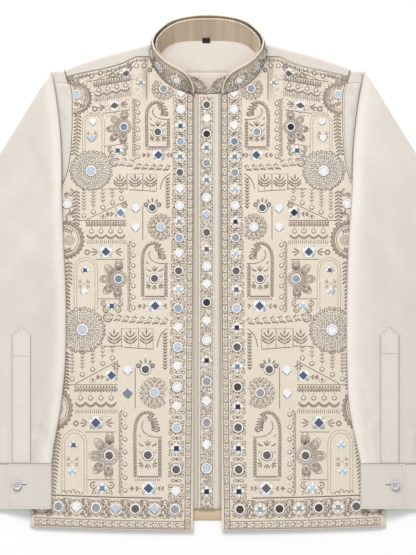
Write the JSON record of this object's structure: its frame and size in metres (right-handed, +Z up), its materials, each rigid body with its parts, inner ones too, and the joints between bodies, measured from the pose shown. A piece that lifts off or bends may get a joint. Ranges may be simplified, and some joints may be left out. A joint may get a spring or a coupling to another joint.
{
  "type": "bandi jacket kurta set",
  "caption": "Embroidered sleeveless bandi jacket with mirror work over a plain ivory long-sleeved kurta, both with stand collars, laid flat with the jacket open.",
  "frame": {"origin": "centre of the bounding box in X and Y, on the flat surface that the set lies on", "axes": "+Z up from the surface, +Y from the hem towards the collar, +X towards the wearer's left"},
  "size_m": [0.7608, 0.7732, 0.033],
  "materials": {
    "kurta_ivory": "plain ivory silk blend with a soft sheen",
    "jacket_cream": "warm cream silk blend, matt",
    "embroidery": "cream ground covered with taupe thread embroidery",
    "piping": "cream satin piping",
    "mirror_glass": "small silvered glass mirrors in thread rims",
    "pearl": "pearly grey button",
    "label_black": "blank black woven label"
  },
  "bodies": {
    "root": {"jacket_back": "jacket_cream", "jacket_collar": "embroidery", "jacket_collar_piping": "piping", "kurta_back": "kurta_ivory", "kurta_yoke": "kurta_ivory", "kurta_placket": "embroidery", "kurta_collar": "embroidery", "neck_label": "label_black", "jacket_front_right": "embroidery", "kurta_front_right": "kurta_ivory", "sleeve_right": "kurta_ivory", "cuff_right": "kurta_ivory", "sleeve_placket_right": "kurta_ivory", "cuff_button_right": "pearl", "jacket_front_left": "embroidery", "kurta_front_left": "kurta_ivory", "sleeve_left": "kurta_ivory", "cuff_left": "kurta_ivory", "sleeve_placket_left": "kurta_ivory", "cuff_button_left": "pearl"}
  },
  "joints": []
}
